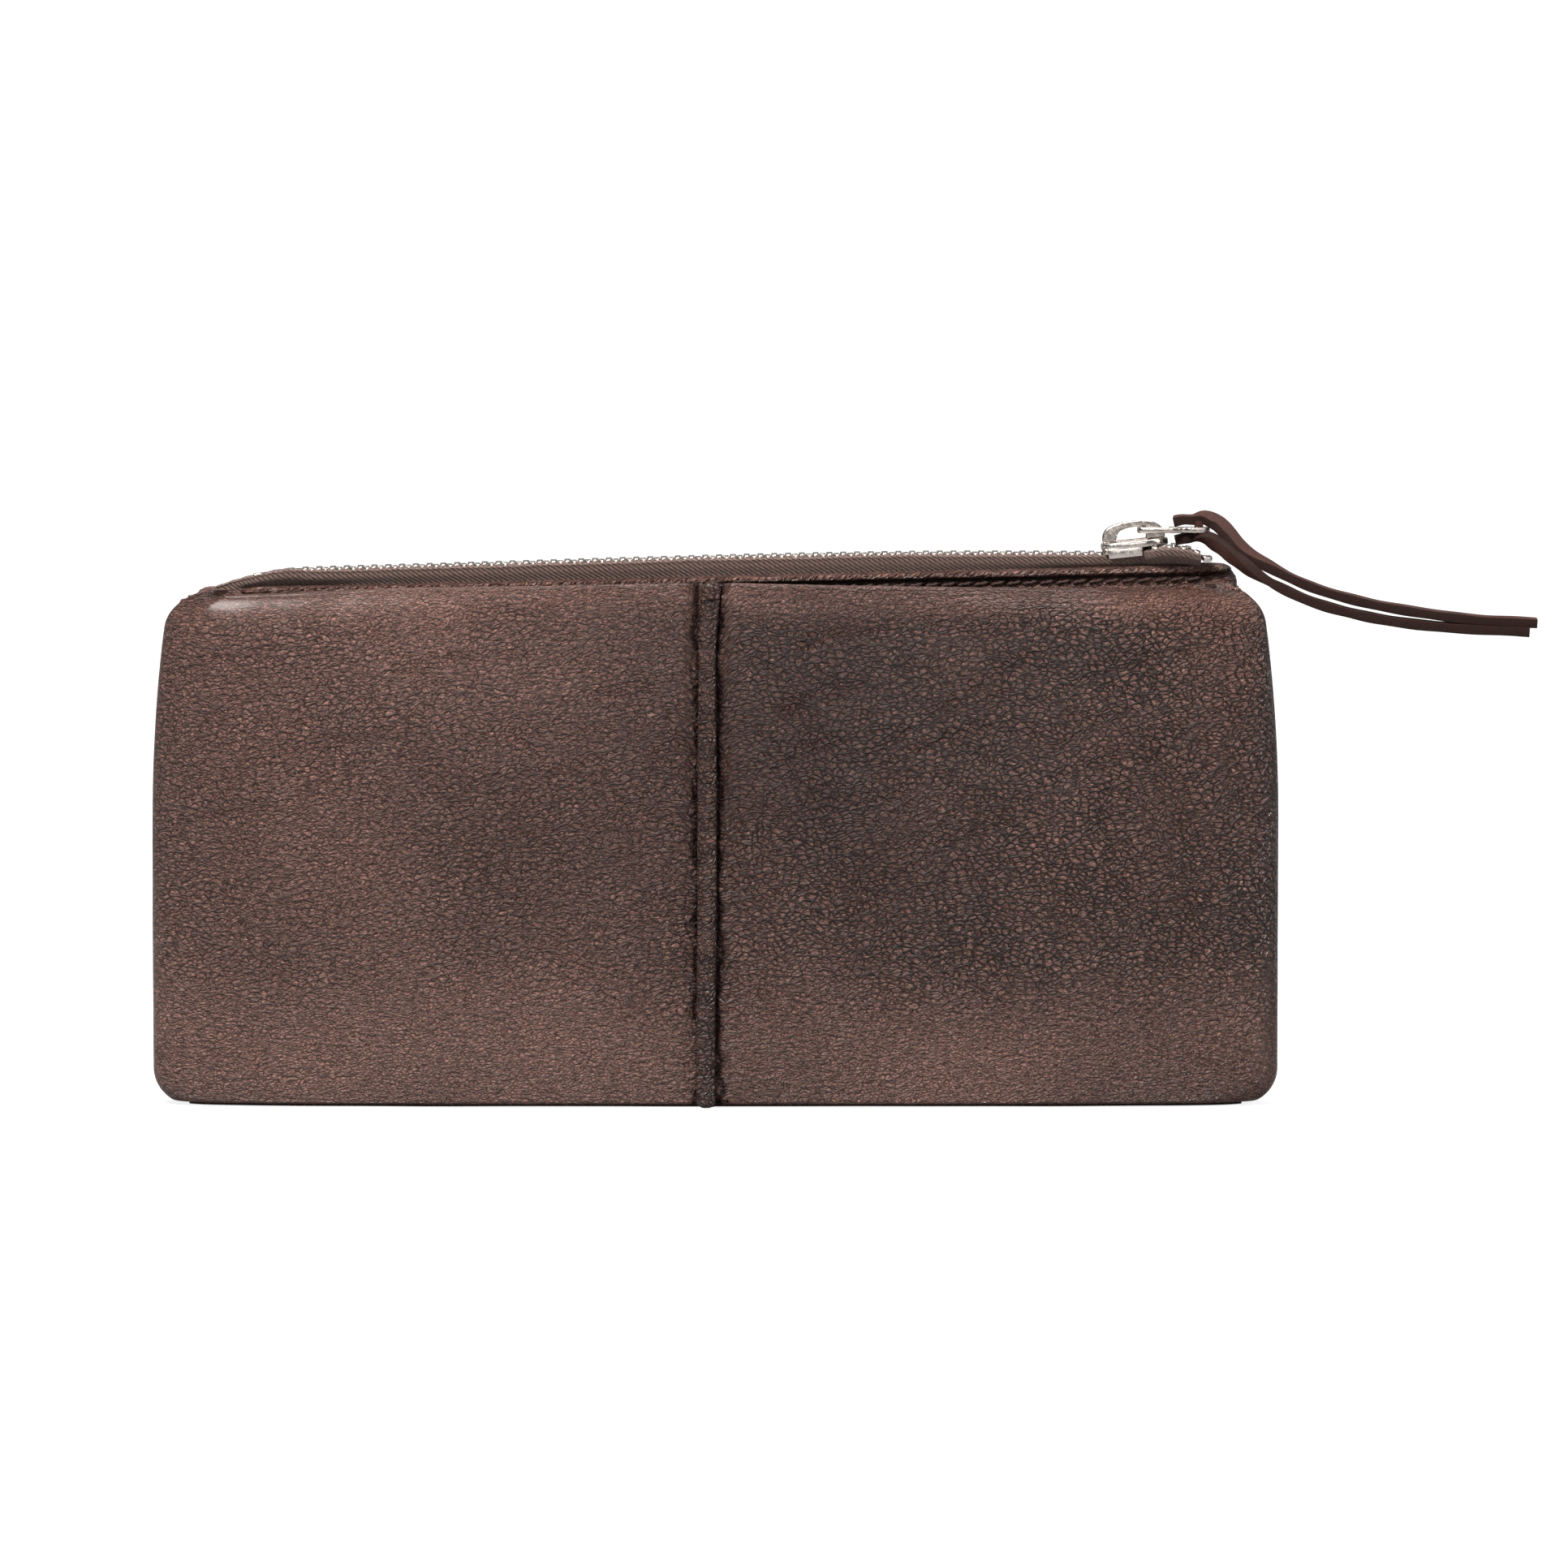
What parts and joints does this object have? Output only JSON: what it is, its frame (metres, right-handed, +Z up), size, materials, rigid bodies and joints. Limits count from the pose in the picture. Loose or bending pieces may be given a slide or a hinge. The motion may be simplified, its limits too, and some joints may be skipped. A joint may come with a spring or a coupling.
{
  "type": "zippered pouch",
  "caption": "Long upright leather pouch with a zipped inner compartment, slip pockets, a raised middle seam, and a metal slider with a leather lace pull.",
  "frame": {"origin": "middle of the base, on the surface that the pouch stands on, halfway between the side seams and between the front and back ribs", "axes": "+X along the length towards the pull tab, +Y from the front to the back, +Z up through the zip"},
  "size_m": [0.2448, 0.03, 0.1048],
  "materials": {
    "outer_leather": "pebbled grain, satin, aniline dyed",
    "rib_leather": "folded seam welt, satin",
    "stiffener_board": "bonded interlining, matt",
    "lining_cloth": "fine cotton weave, matt",
    "zip_tape": "twill weave, matt",
    "sewing_thread": "twisted polyester thread",
    "nickel": "bright nickel plate",
    "lace": "cut leather lace, matt edges"
  },
  "bodies": {
    "pouch": {"base_panel_left": "outer_leather", "base_panel_right": "outer_leather", "centre_rib_base": "rib_leather", "pouch_wall_front": "outer_leather", "pouch_lining_front": "lining_cloth", "pouch_lining_bottom": "lining_cloth", "topstitch_front": "sewing_thread", "zip_tape_front": "zip_tape", "zip_teeth_front": "nickel", "zip_top_stop_front": "nickel", "zip_bottom_stop": "nickel"},
    "front_pocket": {"front_panel_left": "outer_leather", "front_panel_right": "outer_leather", "centre_rib_front": "rib_leather", "front_stiffener": "stiffener_board", "front_pocket_lining": "lining_cloth"},
    "back_half": {"back_panel_left": "outer_leather", "back_panel_right": "outer_leather", "centre_rib_back": "rib_leather", "back_stiffener": "stiffener_board", "back_pocket_lining": "lining_cloth", "pouch_wall_back": "outer_leather", "pouch_lining_back": "lining_cloth", "topstitch_back": "sewing_thread", "zip_tape_back": "zip_tape", "zip_teeth_back": "nickel", "zip_top_stop_back": "nickel"},
    "slider": {"slider_body": "nickel", "slider_bridge": "nickel"},
    "pull": {"pull_tab": "nickel"},
    "thong": {"thong_upper": "lace", "thong_lower": "lace"}
  },
  "joints": [
    {"name": "zip_slide", "type": "slide", "parent": "pouch", "child": "slider", "axis": [-0.9997, 0, -0.023], "range_m": [0, 0.148], "deforming": ["zip_tape_front", "zip_teeth_front"]},
    {"name": "mouth_open", "type": "hinge", "parent": "pouch", "child": "back_half", "pos_m": [0, 0.009, 0.0015], "axis": [-1, 0, 0], "range_deg": [0, 14], "deforming": ["zip_tape_back", "zip_teeth_back"]},
    {"name": "front_pocket_open", "type": "hinge", "parent": "pouch", "child": "front_pocket", "pos_m": [0, -0.009, 0.0015], "axis": [1, 0, 0], "range_deg": [0, 8], "stiffness_Nm_per_rad": 0.1, "springref_deg": -1.72},
    {"name": "pull_swing", "type": "hinge", "parent": "slider", "child": "pull", "pos_m": [0.07538, 0, 0.10207], "axis": [0, -1, 0], "range_deg": [0, 155]},
    {"name": "thong_swing", "type": "hinge", "parent": "pull", "child": "thong", "pos_m": [0.08574, 0, 0.10207], "axis": [0, -1, 0], "range_deg": [0, 60], "deforming": ["thong_upper", "thong_lower"]}
  ],
  "couplings": [
    {"joint": "mouth_open", "follows": "zip_slide", "rad_per_m": 1.65}
  ]
}
